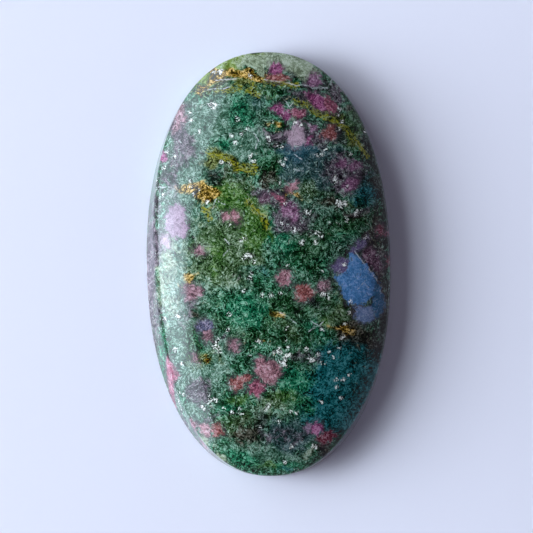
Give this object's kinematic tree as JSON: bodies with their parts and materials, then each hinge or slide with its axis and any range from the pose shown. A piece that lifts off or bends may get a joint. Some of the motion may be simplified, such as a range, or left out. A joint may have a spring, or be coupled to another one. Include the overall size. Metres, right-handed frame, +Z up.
{
  "type": "ruby in fuchsite cabochon",
  "caption": "Oval polished cabochon of ruby in fuchsite: a green granular stone with pink ruby crystals, a low dome with a narrow rounded rim, a steep side wall and a flat ground back.",
  "frame": {"origin": "middle of the flat back, on the surface the stone rests on", "axes": "+Y along the oval's long axis, towards the end at the top of the picture; +Z up through the dome"},
  "size_m": [0.026, 0.045, 0.006],
  "materials": {
    "ruby_in_fuchsite": "polished granular green fuchsite with pink ruby patches, a blue crystal and rusty veins"
  },
  "bodies": {
    "root": {"cabochon": "ruby_in_fuchsite"}
  },
  "joints": []
}
